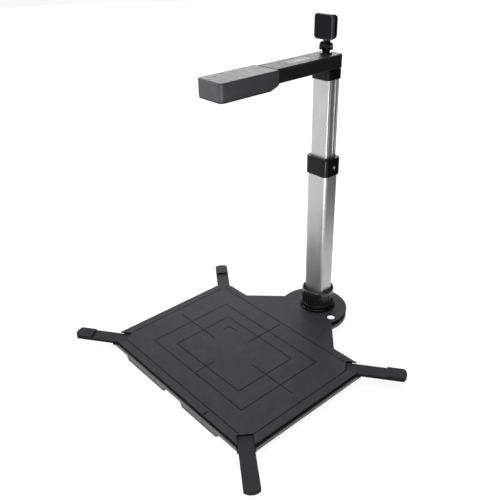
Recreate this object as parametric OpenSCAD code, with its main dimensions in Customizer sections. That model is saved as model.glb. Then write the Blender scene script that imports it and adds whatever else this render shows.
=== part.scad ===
// Book scanner: a flat copy pad with four pull-out corner arms, a telescopic
// column held by a ring nut, a swivelling boom with the camera head at its
// end, and a small tilting second camera on top. Millimetres, Z up, the pad's
// long side along X, the column at +Y. Every node is drawn where it sits.

/* [Pad] */
// Length of the pad along X
pad_w = 325; // [320:1:332]
// Depth of the pad along Y
pad_d = 236; // [234:1:240]
// Height of the pad's top above the table
pad_h = 24; // [24:1:28]
// Thickness of the top cover
plate_t = 2.2; // [2:0.1:2.4]
// Height of the lower shell's visible side
shell_side = 10; // [9:0.5:11]
// Height of the foot blocks under the lower shell, rubber included
foot_drop = 8; // [7:0.5:9]
// Thickness of the rubber under each foot block
rubber_t = 1.8; // [1.5:0.1:2.5]
// Radius of the round base of the column
disc_r = 56; // [54:1:58]
// Distance from the pad's centre to the centre of that round base
disc_y = 180; // [178:1:182]
// Diameter of the cable hole in the round base
cable_hole_d = 13; // [10:0.5:14]

/* [Corner arms] */
// Width of an arm
arm_w = 21.5; // [18:0.5:22]
// Distance from the pad's centre to the end of a pulled-out arm
arm_reach = 262; // [255:1:265]
// Length of the raised tip of an arm
tip_len = 29; // [26:0.5:29]
// Thickness of the bar of an arm
bar_t = 5; // [4:0.5:5]
// Depth of the bar's top below the pad's top
bar_sink = 2.6; // [2.6:0.1:3]

/* [Column] */
// Distance from the pad's centre to the column's axis
column_y = 190; // [188:1:192]
// Width of the lower tube along X
low_w = 38.7; // [38:0.1:40]
// Depth of the lower tube along Y
low_d = 28.8; // [28:0.1:30]
// Width of the upper tube along X
up_w = 31.5; // [30:0.1:31.5]
// Depth of the upper tube along Y
up_d = 22; // [21:0.1:22]
// Top of the clamp collar above the pad
collar_top = 268.5; // [260:0.5:275]
// Height of the clamp collar
collar_h = 27.5; // [25:0.5:30]
// Height of the ring nut above the pad
ring_top = 36; // [34:0.5:40]
// Outer radius of the ring nut
ring_r = 26; // [25.5:0.1:27]

/* [Boom and head] */
// Top of the boom and head above the pad
boom_top = 418; // [400:1:430]
// Width of the boom
boom_w = 36; // [34:1:38]
// Height of the boom
boom_h = 19; // [18:0.5:21]
// Width of the camera head
head_w = 47; // [44:1:50]
// Length of the camera head
head_l = 96.5; // [92:0.5:98]
// Height of the camera head
head_h = 24.5; // [23:0.5:26]
// Distance of the head's front face in front of the lens axis
head_front = 21; // [20:0.5:24]

/* [Second camera] */
// Width of the second camera
sub_w = 33; // [28:0.5:34]
// Height of the second camera
sub_h = 33.5; // [30:0.5:36]
// Thickness of its square front frame
sub_t = 5; // [4:0.5:6]
// Height of its tilt axis above the boom
sub_axis_h = 10.4; // [10:0.1:12]

/* [Hidden] */
$fn = 64;
e = 0.01;

// Paper sizes marked on the pad, long side along X
a4 = [297, 210];
a5 = [210, 148];
a6 = [148, 105];
a7 = [105, 74];
mark_w = 1.2;            // width of an engraved line
mark_d = 0.4;            // depth of an engraved line

diag = atan2(a4[1], a4[0]);              // direction of the corner arms
mouth_r = 172.5;                         // where an arm leaves the cover
arm_in = 116;                            // inner end of a pulled-out arm
tip_arc = 16;                            // radius of an arm's rounded end

z_plate = pad_h - plate_t;               // underside of the top cover
z_shell = foot_drop;                     // underside of the lower shell
z_side = z_shell + shell_side;           // top of the lower shell's side
floor_t = 2;
wall = 2.5;
z_floor = z_shell + floor_t;
z_bar = pad_h - bar_sink - bar_t;        // underside of an arm
corner_r = 8;
neck_x = 102;                            // half width where the neck starts
front_y = -pad_d / 2;
block_d = 18;                            // depth of a foot block

// Foot blocks: [left end, right end, side of the pad]
blocks = [[-122, -20, -1], [20, 103, -1], [-122, -20, 1], [20, 103, 1]];
// Screws that hold the two base shells together
screw_at = [[-130, -60], [130, -60], [-130, 60], [130, 60], [0, -95], [0, 95]];

cable_at = [43, 177];                    // cable hole in the round base
slot_end = [25, 198];                    // far end of the slot below it

flange_h = 4.5;
flange_r = 29.5;
z_tube = pad_h + flange_h;               // lower end of the lower tube
low_r = 6.4;
tube_t = 2;
up_r = 2.5;
up_t = 1.8;
z_collar = pad_h + collar_top - collar_h;
z_collar_top = pad_h + collar_top;
z_low_top = z_collar_top - 10.5;         // upper end of the lower tube
z_up_low = 180;                          // lower end of the upper tube

z_top = pad_h + boom_top;
z_boom = z_top - boom_h;                 // underside of the boom
socket_h = 15;
z_socket = z_boom - socket_h;
z_web = z_socket + 8;                    // upper end of the upper tube
wash_t = 0.6;
boom_back = column_y + 14;
head_y0 = -head_front;
head_y1 = head_y0 + head_l;
screw_y = [head_y1 + 20, 150];           // screws under the boom
skin = 2;
lid_t = 2;
z_head = z_top - head_h;
cover_t = 2.4;                           // height of the head's bottom cover
rise_l = 15.5;                           // length of the head's rising rear end
rise_h = 5.6;                            // and how far it rises
seam_h = rise_h + 1;                     // the same for the seam above it
z_cover = z_head + cover_t;
pin_r = 5;
lens_y = 0;
led_y = 32;

sub_y = column_y - 3;                    // swivel axis of the second camera
z_tilt = z_top + sub_axis_h;
z_sub = z_tilt + 9.1;                    // underside of the second camera
sub_front = sub_y - 8;                   // front face of the second camera

// The origin is on the table, under the middle of the whole object's box
arm_side = sqrt(tip_arc * tip_arc - arm_w * arm_w / 4);
arm_front = (arm_reach - tip_arc + arm_side) * sin(diag) + arm_w / 2 * cos(diag);
y_mid = (disc_y + disc_r - arm_front) / 2;

// ---- shared shapes ----
module placed() { translate([0, -y_mid, 0]) children(); }

module rrect(w, d, r) {
    square([w - 2 * r, d], center = true);
    square([w, d - 2 * r], center = true);
    for (sx = [-1, 1], sy = [-1, 1])
        translate([sx * (w / 2 - r), sy * (d / 2 - r)]) circle(r);
}

module rbox(w, d, h, r) { linear_extrude(h) rrect(w, d, r); }

module at_column(z) { translate([0, column_y, z]) children(); }

// Outline of the pad, its neck and the round base, drawn in by i
module outline(i) {
    rrect(pad_w - 2 * i, pad_d - 2 * i, corner_r - i / 2);
    s = neck_x + pad_d / 2 - i * sqrt(2);
    y0 = pad_d / 2 - 12;
    y1 = disc_y - 6;
    polygon([[-s + y0, y0], [s - y0, y0], [s - y1, y1], [-s + y1, y1]]);
    translate([0, disc_y]) circle(disc_r - i);
}

// Turns a shape drawn along +X to the corner at sx, sy
module corner(sx, sy) {
    rotate(sx > 0 ? sy * diag : 180 - sy * diag) children();
}

module every_corner() {
    for (sx = [-1, 1], sy = [-1, 1]) corner(sx, sy) children();
}

// ---- base ----
module frame_lines(s) {
    for (k = [-1, 1]) {
        translate([0, k * s[1] / 2]) square([s[0] + mark_w, mark_w], center = true);
        translate([k * s[0] / 2, 0]) square([mark_w, s[1] + mark_w], center = true);
    }
}

module line_x(x0, x1, y) { translate([x0, y - mark_w / 2]) square([x1 - x0, mark_w]); }
module line_y(y0, y1, x) { translate([x - mark_w / 2, y0]) square([mark_w, y1 - y0]); }

module marks() {
    frame_lines(a4);
    frame_lines(a5);
    frame_lines(a6);
    line_x(-a7[0] / 2, -a7[0] / 2 + 16, a7[1] / 2);
    line_y(a7[1] / 2 - 12, a7[1] / 2, -a7[0] / 2);
    line_x(-132, -45, 0);
    line_x(45, 128, 0);
    line_y(35, 101, 0);
    line_y(-72, -36, 0);
}

// A channel for each arm, w wide, from r outwards and up from z
module arm_channels(r, w, z) {
    every_corner() translate([r, -w / 2, z]) cube([80, w, 40]);
}

module base_top() placed() color("#48474a") difference() {
    union() {
        difference() {
            translate([0, 0, z_plate]) linear_extrude(plate_t) outline(0);
            translate([0, 0, pad_h - mark_d]) linear_extrude(1) marks();
            arm_channels(mouth_r, arm_w + 1, z_side);
        }
        difference() {
            translate([0, 0, z_side + 0.3]) linear_extrude(z_plate - z_side) difference() {
                outline(2.5);
                outline(4.5);
            }
            arm_channels(mouth_r - 6, arm_w + 4.4, z_side);
        }
        for (p = screw_at) translate([p[0], p[1], z_floor + 0.2])
            cylinder(r = 3.5, h = z_plate - z_floor);
    }
    translate([cable_at[0], cable_at[1], z_floor]) cylinder(d = cable_hole_d, h = 30);
    translate([0, column_y, z_floor]) cylinder(r = 15.4, h = 30);
    translate([75, front_y + 1.5, pad_h - 1.2]) cube([2, 8, 2]);
    for (p = screw_at) translate([p[0], p[1], z_floor]) cylinder(r = 1.5, h = 9);
}

module block_plan(b, i) {
    y0 = b[2] < 0 ? front_y + 1 : -front_y - 1 - block_d;
    translate([b[0] + i, y0 + (b[2] < 0 ? 0 : i)])
        square([b[1] - b[0] - 2 * i, block_d - i]);
}

module cable_slot() {
    v = slot_end - cable_at;
    translate(cable_at) {
        circle(d = cable_hole_d + 2);
        rotate(atan2(v[1], v[0])) translate([0, -cable_hole_d / 2 - 0.7])
            square([norm(v), cable_hole_d + 1.4]);
    }
    translate(slot_end) circle(d = cable_hole_d + 2);
}

module base_shell() placed() color("#77777a") difference() {
    union() {
        difference() {
            translate([0, 0, z_shell]) linear_extrude(shell_side) outline(0.4);
            translate([0, 0, z_floor]) linear_extrude(shell_side) outline(0.4 + wall);
        }
        for (b = blocks) translate([0, 0, rubber_t])
            linear_extrude(z_shell - rubber_t + e) block_plan(b, 0);
        translate([0, disc_y + 38, rubber_t])
            linear_extrude(z_shell - rubber_t + e) rrect(44, 24, 8);
        for (p = screw_at) translate([p[0], p[1], z_shell])
            cylinder(r = 6, h = floor_t);
    }
    every_corner() translate([mouth_r, -arm_w / 2 - 2, z_bar - 1.8])
        cube([60, arm_w + 4, 20]);
    translate([0, 0, z_shell - 1]) linear_extrude(floor_t + 2) cable_slot();
    for (p = screw_at) translate([p[0], p[1], z_shell - 1]) {
        cylinder(r = 1.9, h = floor_t + 2);
        cylinder(r = 3.4, h = 2);
    }
    translate([0, column_y, z_shell - 1]) cylinder(r = 4.3, h = floor_t + 2);
}

module ballast_plate() placed() color("#8d9094") difference() {
    translate([0, 0, z_floor]) rbox(230, 150, 4, 10);
    for (p = screw_at) translate([p[0], p[1], z_floor - 1]) cylinder(r = 5, h = 8);
}

module arm_guide(sx, sy) placed() color("#2b2b2d") corner(sx, sy) {
    w = arm_w + 0.4;
    translate([100, -w / 2 - 1.5, z_bar - 1.6]) cube([96, w + 3, 1.4]);
    for (s = [-1, 1]) translate([100, s > 0 ? w / 2 : -w / 2 - 1.5, z_bar - 1.6])
        cube([mouth_r - 6.5 - 100, 1.5, z_plate - z_bar + 1.4]);
    for (x = [146, 178]) translate([x, 0, z_floor])
        cylinder(r = 5, h = z_bar - 1.6 - z_floor + e);
}
module arm_guide_fl() arm_guide(-1, -1);
module arm_guide_fr() arm_guide(1, -1);
module arm_guide_bl() arm_guide(-1, 1);
module arm_guide_br() arm_guide(1, 1);

module foot_pad(b) placed() color("#161617") linear_extrude(rubber_t) block_plan(b, 2);
module foot_pad_fl() foot_pad(blocks[0]);
module foot_pad_fr() foot_pad(blocks[1]);
module foot_pad_bl() foot_pad(blocks[2]);
module foot_pad_br() foot_pad(blocks[3]);
module foot_pad_rear() placed() color("#161617")
    translate([0, disc_y + 38, 0]) rbox(40, 20, rubber_t, 6);

module base_screws() placed() color("#b9bbbe")
    for (p = screw_at) translate([p[0], p[1], z_shell - 0.9]) difference() {
        union() {
            cylinder(r = 3.1, h = 1.8);
            cylinder(r = 1.4, h = 10);
        }
        translate([0, 0, -e]) cylinder(r = 1.5, h = 1, $fn = 6);
    }

// ---- column ----
module column_socket() placed() color("#5c5e61") at_column(z_floor) difference() {
    union() {
        cylinder(r = 22, h = 3);
        cylinder(r = 19, h = z_plate - z_floor);
    }
    translate([0, 0, 2]) cylinder(r = 15.2, h = 30);
    translate([0, 0, -1]) cylinder(r = 4.3, h = 6);
}

module column_bolt() placed() color("#b9bbbe") at_column(0) difference() {
    union() {
        translate([0, 0, z_shell - 5]) cylinder(r = 6.5, h = 5);
        translate([0, 0, z_shell - e]) cylinder(r = 4, h = 32);
    }
    translate([0, 0, z_shell - 5 - e]) cylinder(r = 3.4, h = 3, $fn = 6);
}

module column_plug() placed() color("#6a6c70") at_column(0) difference() {
    union() {
        translate([0, 0, z_floor + 2.2]) cylinder(r = 15, h = z_tube - z_floor - 2.2 + e);
        translate([0, 0, z_tube]) rbox(low_w - 2 * tube_t - 0.4, low_d - 2 * tube_t - 0.4, 25, 4);
    }
    translate([0, 0, z_floor]) cylinder(r = 4.2, h = 31);
}

module ring_flange() placed() color("#101011") at_column(pad_h) difference() {
    union() {
        cylinder(r = flange_r, h = flange_h - 1.2);
        translate([0, 0, flange_h - 1.2 - e]) cylinder(r1 = flange_r, r2 = flange_r - 1.2, h = 1.2 + e);
    }
    translate([0, 0, -1]) cylinder(r = 15.3, h = 10);
}

module column_collet() placed() color("#1c1c1e") at_column(z_tube) difference() {
    cylinder(r = 23.6, h = 22);
    translate([0, 0, -1]) rbox(low_w + 0.2, low_d + 0.2, 30, low_r + 0.1);
}

module ring_nut() placed() color("#19191b") at_column(z_tube + 0.3) difference() {
    h = pad_h + ring_top - z_tube - 0.3;
    union() {
        cylinder(r = ring_r - 0.6, h = h - 3);
        cylinder(r = ring_r, h = 5);
        translate([0, 0, h - 8]) cylinder(r = ring_r, h = 5);
        translate([0, 0, h - 3 - e]) cylinder(r1 = ring_r, r2 = ring_r - 2, h = 3 + e);
        for (k = [0 : 47]) rotate(k * 360 / 48) translate([ring_r - 0.8, 0, 4])
            cylinder(r = 1, h = h - 11, $fn = 16);
    }
    translate([0, 0, -1]) cylinder(r = 23.9, h = h + 2);
}

module lower_tube() placed() color("#b4b6b9") at_column(z_tube) difference() {
    rbox(low_w, low_d, z_low_top - z_tube, low_r);
    translate([0, 0, -1]) rbox(low_w - 2 * tube_t, low_d - 2 * tube_t, 400, low_r - tube_t);
}

module tube_bush() placed() color("#e4e4e0") at_column(z_low_top - 30) difference() {
    union() {
        rbox(low_w - 2 * tube_t - 0.1, low_d - 2 * tube_t - 0.1, 30, low_r - tube_t);
        translate([0, 0, 30]) rbox(low_w - 0.4, low_d - 0.4, 1.5, low_r);
    }
    translate([0, 0, -1]) rbox(up_w + 0.3, up_d + 0.3, 40, up_r + 0.1);
}

module clamp_collar() placed() color("#1a1a1c") at_column(z_collar) difference() {
    rbox(44.5, 34.5, collar_h, 9.5);
    translate([0, 0, -1]) rbox(low_w + 0.2, low_d + 0.2, z_low_top + 1.6 - z_collar + 1, low_r + 0.1);
    translate([0, 0, -1]) rbox(up_w + 0.6, up_d + 0.6, collar_h + 2, up_r + 0.3);
    translate([18, 0, collar_h / 2]) rotate([0, 90, 0]) cylinder(r = 2.1, h = 10);
    translate([21.5, 0, collar_h / 2]) rotate([0, 90, 0]) cylinder(r = 3.6, h = 10);
}

module clamp_screw() placed() color("#c9cbce")
    at_column(z_collar + collar_h / 2) rotate([0, 90, 0]) difference() {
    union() {
        translate([0, 0, low_w / 2 + 0.05]) cylinder(r = 2, h = 3);
        translate([0, 0, 21.5]) cylinder(r = 3.4, h = 1.4);
    }
    translate([0, 0, 22]) cylinder(r = 1.6, h = 2, $fn = 6);
}

// Closed grooves along the two narrow faces of the upper tube
module grooved() {
    difference() {
        rrect(up_w, up_d, up_r);
        for (s = [-1, 1]) translate([s * up_w / 2, 0]) {
            square([2.4, 7], center = true);
            for (t = [-1, 1]) translate([0, t * 7.2]) square([1.6, 1.6], center = true);
        }
    }
}

module upper_tube() placed() color("#b8babd") at_column(z_up_low) difference() {
    linear_extrude(z_web - z_up_low) grooved();
    translate([0, 0, -1]) rbox(up_w - 6, up_d - 2 * up_t, 400, 2);
}

module tube_slider() placed() color("#e4e4e0") at_column(z_up_low - 12) {
    rbox(low_w - 2 * tube_t - 0.5, low_d - 2 * tube_t - 0.5, 12, low_r - tube_t);
    rbox(up_w - 6.4, up_d - 2 * up_t - 0.4, 28, 1.8);
}

module boom_socket() placed() color("#19191b") at_column(z_socket) difference() {
    rbox(34, 30, socket_h - wash_t - 0.1, 6);
    translate([0, 0, -1]) rbox(up_w + 0.1, up_d + 0.1, 9, up_r);
    cylinder(r = pin_r + 0.05, h = 30);
}

module swivel_washer() placed() color("#d9d9d6") at_column(z_boom - wash_t - 0.05)
    difference() {
        cylinder(r = 13.5, h = wash_t);
        translate([0, 0, -1]) cylinder(r = pin_r + 0.1, h = 3);
    }

module swivel_pin() placed() color("#9b9da1") at_column(z_web) difference() {
    union() {
        cylinder(r = pin_r, h = z_boom + 7 - z_web);
        translate([0, 0, -2]) cylinder(r = 7.5, h = 2 + e);
    }
    translate([0, 0, -3]) cylinder(r = 3, h = 40);
}

module swivel_nut() placed() color("#b9bbbe") at_column(z_boom + 2.7) difference() {
    cylinder(r = 8.5, h = 3.1, $fn = 6);
    translate([0, 0, -1]) cylinder(r = pin_r + 0.03, h = 6);
}

module mast_harness() placed() color("#202022") at_column(z_up_low + 20)
    cylinder(r = 2.4, h = z_boom + 10 - z_up_low - 20);

// ---- corner arms ----
module arm(sx, sy) placed() color("#3a393c") corner(sx, sy) {
    intersection() {
        union() {
            translate([arm_in, -arm_w / 2, z_bar])
                cube([arm_reach - arm_in, arm_w, bar_t]);
            translate([arm_reach - tip_len, -arm_w / 2, z_bar])
                cube([tip_len, arm_w, bar_t + bar_sink]);
        }
        union() {
            translate([arm_reach - tip_arc, 0, 0]) cylinder(r = tip_arc, h = 60);
            translate([0, -arm_w / 2, 0]) cube([arm_reach - tip_arc, arm_w, 60]);
        }
    }
}
module arm_fl() arm(-1, -1);
module arm_fr() arm(1, -1);
module arm_bl() arm(-1, 1);
module arm_br() arm(1, 1);

// ---- boom ----
module boom_plan(i) {
    y0 = head_y1 - 12;
    difference() {
        translate([0, (boom_back + y0) / 2]) rrect(boom_w - 2 * i, boom_back - y0 - 2 * i, 5 - i);
        translate([-30, y0 - 30]) square([60, 42.1]);
    }
}

module boom_channel() placed() color("#17171a") difference() {
    union() {
        translate([0, 0, z_boom]) linear_extrude(boom_h - lid_t) boom_plan(0);
        translate([-14, head_y1 - 10, z_boom + 1.3]) cube([28, 12, 13.7]);
    }
    translate([0, (boom_back + head_y1) / 2, z_boom + 2.5])
        rbox(boom_w - 2 * skin, boom_back - head_y1 - 2 * skin, 40, 3);
    translate([-12, head_y1 - 14, z_boom + 2.5]) cube([24, 20, 10.5]);
    at_column(z_boom - 1) cylinder(r = pin_r + 0.05, h = 6);
    translate([-4.7, boom_back - 4, z_boom + 5.9]) cube([9.4, 8, 3.6]);
    for (y = screw_y) translate([0, y, z_boom - 1]) cylinder(r = 2.6, h = 2.92);
}

module boom_lid() placed() color("#8a8a8d") difference() {
    translate([0, 0, z_top - lid_t]) linear_extrude(lid_t) boom_plan(0);
    translate([-5, 112, z_top - 0.6]) cube([10, 39, 2]);
    translate([0, sub_y, z_top - lid_t - 1]) cylinder(r = 3.2, h = 5);
}

module nameplate() placed() color("#d7d8da")
    translate([-4.9, 112.1, z_top - 0.6]) cube([9.8, 38.8, 0.6]);

// Plan of the head: round corners in front, nearly square ones at the boom
module head_plan(i) {
    translate([0, (head_y0 + head_y1) / 2]) rrect(head_w - 2 * i, head_l - 2 * i, 6 - i);
    translate([0, head_y1 - 20]) rrect(head_w - 2 * i, 40 - 2 * i, i > 1 ? 0.5 : 1.5);
}

// The room below the head's seam, which rises towards the boom
module under_seam() {
    translate([-40, 0, 0]) rotate([90, 0, 90]) linear_extrude(80) polygon([
        [head_y0 - 5, z_head], [head_y1 - rise_l, z_head], [head_y1, z_head + rise_h],
        [head_y1, z_head + seam_h], [head_y1 - rise_l + 0.5, z_cover], [head_y0 - 5, z_cover]]);
}

module head_shell() placed() color("#4c4c50") difference() {
    translate([0, 0, z_cover]) linear_extrude(z_top - z_cover) head_plan(0);
    translate([0, 0, z_cover - 1]) linear_extrude(z_top - skin - z_cover + 1) head_plan(skin);
    translate([-14.2, head_y1 - 6, z_boom - 2]) cube([28.4, 12, 17.2]);
    translate([-40, 0, 0]) rotate([90, 0, 90]) linear_extrude(80) polygon([
        [head_y1 - rise_l + 0.5, z_cover], [head_y1 - rise_l + 0.5, z_cover - 2],
        [head_y1 + 5, z_cover - 2], [head_y1 + 5, z_head + seam_h], [head_y1, z_head + seam_h]]);
}

module head_bottom() placed() color("#3e3e42") difference() {
    intersection() {
        translate([0, 0, z_head]) linear_extrude(seam_h) head_plan(0.3);
        under_seam();
    }
    translate([0, (head_y0 + head_y1) / 2 - 8, z_head + 1.8])
        rbox(head_w - 8, head_l - 24, 10, 3);
    translate([0, lens_y, z_head - 1]) cylinder(r = 8.2, h = 10);
    translate([0, led_y, z_head - 1]) rbox(32.2, 12.2, 10, 3);
    for (s = [-1, 1], y = [head_y0 + 6, head_y1 - 22])
        translate([s * (head_w / 2 - 8), y, z_head - 1]) cylinder(r = 2.4, h = 1.8);
}

module lens_window() placed() color("#22262c") translate([0, lens_y, z_head + 0.3])
    cylinder(r = 8.1, h = 1.2);

module led_diffuser() placed() color("#efeee8")
    translate([0, led_y, z_head + 0.2]) rbox(32, 12, 1.6, 2.9);

module lens_holder() placed() color("#1e1e20") translate([0, lens_y, z_head + 2]) difference() {
    union() {
        cylinder(r = 8.6, h = 9);
        translate([-11, -11, 6]) cube([22, 22, 6]);
    }
    translate([0, 0, -1]) cylinder(r = 6.6, h = 8);
    translate([-7, -7, 6.5]) cube([14, 14, 8]);
}

module lens_barrel() placed() color("#0f0f10") translate([0, lens_y, z_head + 2.4]) difference() {
    cylinder(r = 6.5, h = 6);
    translate([0, 0, -1]) cylinder(r = 4.6, h = 4);
}

module front_lens() placed() color("#3a4a66") translate([0, lens_y, z_head + 2.8])
    cylinder(r1 = 3.6, r2 = 4.5, h = 2.2);

module image_sensor() placed() color("#33363a")
    translate([-6, lens_y - 5, z_head + 11]) cube([12, 10, 3]);

module camera_board() placed() color("#1f5a35")
    translate([0, lens_y + 2, z_head + 14]) rbox(38, 36, 1.6, 2);

module led_board() placed() color("#e9e9e6")
    translate([0, led_y, z_head + 4]) rbox(36, 15, 1.4, 2);

module led_chips() placed() color("#f3e9a8")
    for (k = [-2 : 2]) translate([k * 6 - 1.5, led_y - 1.5, z_head + 3.2]) cube([3, 3, 0.8]);

module main_board() placed() color("#1f5a35") difference() {
    translate([0, 138, z_boom + 4.3]) rbox(28, 119, 1.4, 2);
    at_column(z_boom) cylinder(r = 10.5, h = 20);
}

module usb_socket() placed() color("#c2c4c7") difference() {
    translate([-4.5, boom_back - 8, z_boom + 6]) cube([9, 7.6, 3.3]);
    translate([-4.1, boom_back - 6, z_boom + 6.35]) cube([8.2, 8, 2.6]);
}

module boom_screws() placed() color("#9b9da1")
    for (y = screw_y) translate([0, y, z_boom + 0.4])
        difference() {
            cylinder(r = 2.4, h = 1.5);
            translate([0, 0, -e]) cylinder(r = 1.2, h = 0.8, $fn = 6);
        }

module head_screws() placed() color("#9b9da1")
    for (s = [-1, 1], y = [head_y0 + 6, head_y1 - 22])
        translate([s * (head_w / 2 - 8), y, z_head + 0.3]) difference() {
            cylinder(r = 2.2, h = 0.5);
            translate([0, 0, -e]) cylinder(r = 1.1, h = 0.3, $fn = 6);
        }

// ---- second camera ----
module subcam_flange() placed() color("#121214") translate([0, sub_y, z_top]) difference() {
    union() {
        cylinder(r1 = 9, r2 = 8, h = 2);
        translate([0, 0, -3.5]) cylinder(r = 3.1, h = 4);
    }
    translate([0, 0, -5]) cylinder(r = 2.05, h = 10);
}

module subcam_stem() placed() color("#151517") translate([0, sub_y, 0]) difference() {
    union() {
        translate([0, 0, z_top - 5]) cylinder(r = 2, h = 8);
        translate([0, 0, z_top + 2.3]) cylinder(r = 5.5, h = 3.2);
        translate([0, 0, z_top + 5.4]) intersection() {
            translate([-8, -5.5, 0]) cube([16, 11, 11]);
            union() {
                translate([-9, 0, sub_axis_h - 5.4]) rotate([0, 90, 0]) cylinder(r = 5.5, h = 18);
                translate([-9, -5.5, 0]) cube([18, 11, sub_axis_h - 5.4]);
            }
        }
    }
    translate([-3.4, -10, z_tilt - 5.9]) cube([6.8, 20, 30]);
    translate([-10, 0, z_tilt]) rotate([0, 90, 0]) cylinder(r = 1.6, h = 20);
}

module subcam_pin() placed() color("#c9cbce")
    translate([0, sub_y, z_tilt]) rotate([0, 90, 0]) difference() {
        union() {
            translate([0, 0, -8]) cylinder(r = 1.5, h = 16.2);
            translate([0, 0, 8.1]) cylinder(r = 2.6, h = 1);
        }
        translate([0, 0, 8.6]) cylinder(r = 1.3, h = 2, $fn = 6);
    }

module sub_plan(i) { rrect(sub_w - 2 * i, sub_h - 2 * i, 5 - i / 2); }

// Puts a plan drawn in XY upright, its extrusion running to +Y from y
module upright(y) {
    translate([0, y, z_sub + sub_h / 2]) rotate([90, 0, 0]) mirror([0, 0, 1]) children();
}

module subcam_frame() placed() color("#0d0d0e") upright(sub_front) difference() {
    linear_extrude(sub_t) sub_plan(0);
    translate([0, 0, -1]) linear_extrude(2) sub_plan(1.2);
    translate([0, 0, 2]) linear_extrude(10) sub_plan(2);
    translate([0, 0, -1]) cylinder(r = 3, h = 10);
}

module subcam_glass() placed() color("#050506") upright(sub_front + 0.1) linear_extrude(0.8)
    sub_plan(1.3);

module subcam_back() placed() color("#141416") union() {
    upright(sub_front + sub_t) difference() {
        union() {
            linear_extrude(3.2) sub_plan(0.5);
            translate([0, 0, 3.2 - e]) linear_extrude(3.6) sub_plan(1.5);
            translate([0, 0, 6.8 - 2 * e]) linear_extrude(2.6) sub_plan(4);
            translate([0, 0, 9.4 - 3 * e]) linear_extrude(1.6) sub_plan(7.5);
        }
        translate([0, 0, -1]) linear_extrude(5.5) sub_plan(3.5);
    }
    translate([-3.1, sub_y, z_tilt]) difference() {
        union() {
            rotate([0, 90, 0]) cylinder(r = 5.2, h = 6.2);
            translate([0, -3, 0]) cube([6.2, 8.2, 9.8]);
        }
        translate([-1, 0, 0]) rotate([0, 90, 0]) cylinder(r = 1.55, h = 10);
    }
}

module subcam_lens() placed() color("#26303e") upright(sub_front + 1) cylinder(r = 2.9, h = 4.4);

module subcam_board() placed() color("#1f5a35") upright(sub_front + sub_t + 0.6)
    linear_extrude(1.2) sub_plan(5);

base_top();
base_shell();
ballast_plate();
arm_guide_fl();
arm_guide_fr();
arm_guide_bl();
arm_guide_br();
foot_pad_fl();
foot_pad_fr();
foot_pad_bl();
foot_pad_br();
foot_pad_rear();
base_screws();
column_socket();
column_bolt();
column_plug();
ring_flange();
column_collet();
lower_tube();
tube_bush();
clamp_collar();
clamp_screw();
arm_fl();
arm_fr();
arm_bl();
arm_br();
ring_nut();
upper_tube();
tube_slider();
boom_socket();
swivel_pin();
swivel_nut();
swivel_washer();
mast_harness();
boom_channel();
boom_lid();
nameplate();
head_shell();
head_bottom();
camera_board();
image_sensor();
lens_holder();
lens_barrel();
front_lens();
lens_window();
led_board();
led_chips();
led_diffuser();
main_board();
usb_socket();
boom_screws();
head_screws();
subcam_flange();
subcam_stem();
subcam_pin();
subcam_frame();
subcam_back();
subcam_glass();
subcam_lens();
subcam_board();
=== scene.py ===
# Book scanner: a charcoal copy pad with four pull-out corner arms, a silver
# column in a ribbed ring nut, a swivelling boom with the camera head, and a
# small second camera on top. Metres, Z up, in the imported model's own frame.
from math import atan2, cos, pi, radians, sin, sqrt

import bmesh
import bpy
from mathutils import Matrix, Vector


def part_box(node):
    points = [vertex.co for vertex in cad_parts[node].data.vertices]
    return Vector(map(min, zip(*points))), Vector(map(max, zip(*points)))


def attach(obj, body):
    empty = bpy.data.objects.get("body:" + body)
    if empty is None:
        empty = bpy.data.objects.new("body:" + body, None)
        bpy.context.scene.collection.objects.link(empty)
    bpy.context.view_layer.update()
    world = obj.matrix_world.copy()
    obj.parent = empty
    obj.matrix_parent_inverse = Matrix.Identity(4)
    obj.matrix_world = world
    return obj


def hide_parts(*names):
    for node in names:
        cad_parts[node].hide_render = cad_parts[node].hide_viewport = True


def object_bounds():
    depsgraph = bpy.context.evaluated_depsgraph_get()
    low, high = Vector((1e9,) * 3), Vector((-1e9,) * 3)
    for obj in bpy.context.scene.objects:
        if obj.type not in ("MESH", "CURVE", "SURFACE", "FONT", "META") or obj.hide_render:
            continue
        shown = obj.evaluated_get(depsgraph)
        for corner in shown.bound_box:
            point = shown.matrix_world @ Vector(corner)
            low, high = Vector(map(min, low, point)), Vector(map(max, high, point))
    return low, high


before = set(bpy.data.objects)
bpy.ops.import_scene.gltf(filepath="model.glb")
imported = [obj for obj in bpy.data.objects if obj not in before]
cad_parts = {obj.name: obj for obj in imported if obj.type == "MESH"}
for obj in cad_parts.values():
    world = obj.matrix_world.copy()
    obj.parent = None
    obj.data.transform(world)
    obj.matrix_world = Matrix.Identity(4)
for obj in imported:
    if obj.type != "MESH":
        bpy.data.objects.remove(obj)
cad_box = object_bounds()

# ---- sizes of the maker's own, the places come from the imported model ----
PAD_DEPTH = 0.236
CORNER_R = 0.008
DISC_R = 0.056
NECK_X = 0.102
PLATE_T = 0.0022
SHADE_BAND = 0.0035  # the band along the shell's upper edge that is painted black as shade
LINE_W = 0.0012
LINE_D = 0.0004
ARM_W = 0.0215
ARM_T = 0.005  # the arm behind its thicker tip
ARM_IN = 0.116
ARM_OUT = 0.262
TIP_LEN = 0.029
TIP_ARC = 0.016
MOUTH = 0.1725  # where an arm's channel begins, from the middle of the pad
DIAG = atan2(0.210, 0.297)
PAPERS = ((0.297, 0.210), (0.210, 0.148), (0.148, 0.105))
A7_X = 0.0525
A7_Y = 0.037
CORNER_MARK = ((-A7_X, A7_Y, -A7_X + 0.016, A7_Y), (-A7_X, A7_Y - 0.012, -A7_X, A7_Y))
CROSS_LINES = (
    (-0.132, 0, -0.045, 0), (0.045, 0, 0.128, 0), (0, 0.035, 0, 0.101), (0, -0.072, 0, -0.036)
)
CABLE_HOLE = (0.043, 0.177)
CABLE_END = (0.025, 0.198)
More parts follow.
